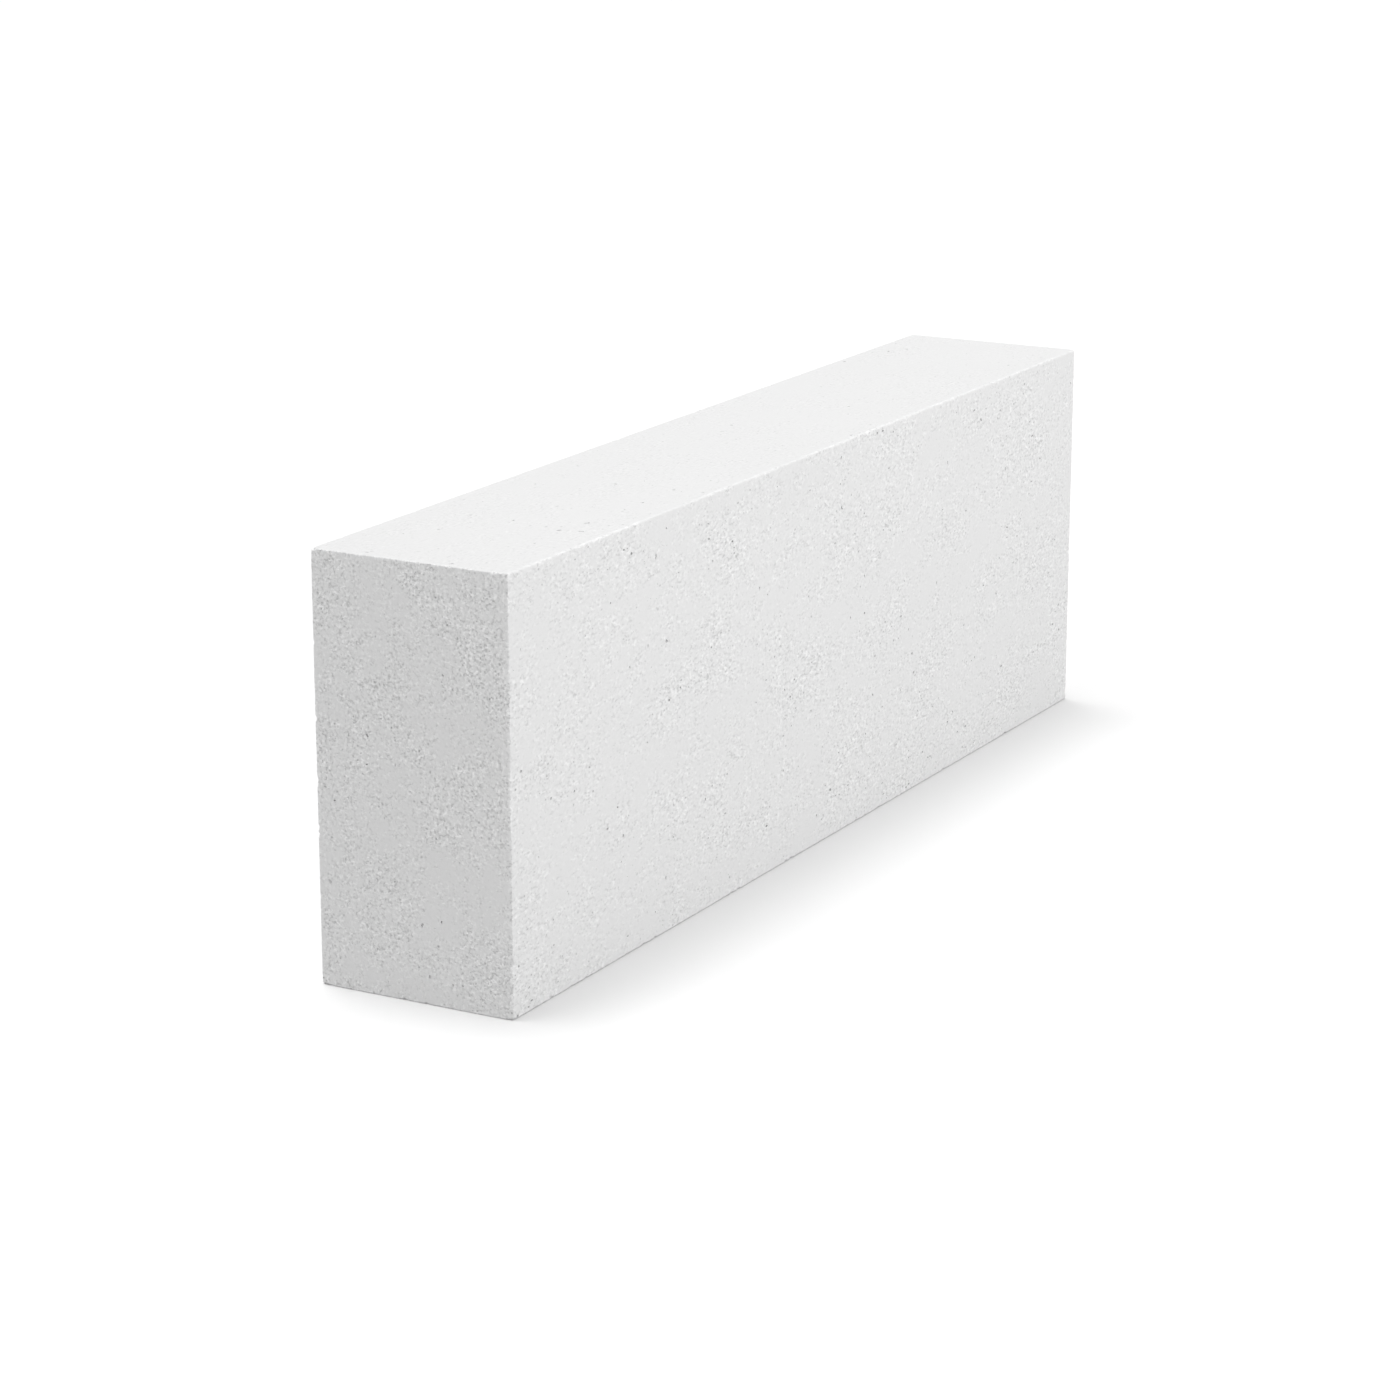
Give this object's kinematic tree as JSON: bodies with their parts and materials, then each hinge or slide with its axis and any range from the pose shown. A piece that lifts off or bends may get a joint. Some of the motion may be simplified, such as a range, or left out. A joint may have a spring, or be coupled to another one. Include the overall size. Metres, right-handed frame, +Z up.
{
  "type": "aerated concrete block",
  "caption": "Plain solid white block of aerated concrete with flat sawn faces and slightly eased edges, laid in thin mortar joints to build walls and partitions.",
  "frame": {"origin": "centre of the bottom bed face, on the floor or course that the block stands on", "axes": "+X along the block's length, +Y through its thickness, +Z up its height; the picture shows the -X end and the -Y wall face"},
  "size_m": [0.6, 0.1, 0.2],
  "materials": {
    "aerated_concrete": "matte, finely porous sawn surface"
  },
  "bodies": {
    "root": {"block": "aerated_concrete"}
  },
  "joints": []
}
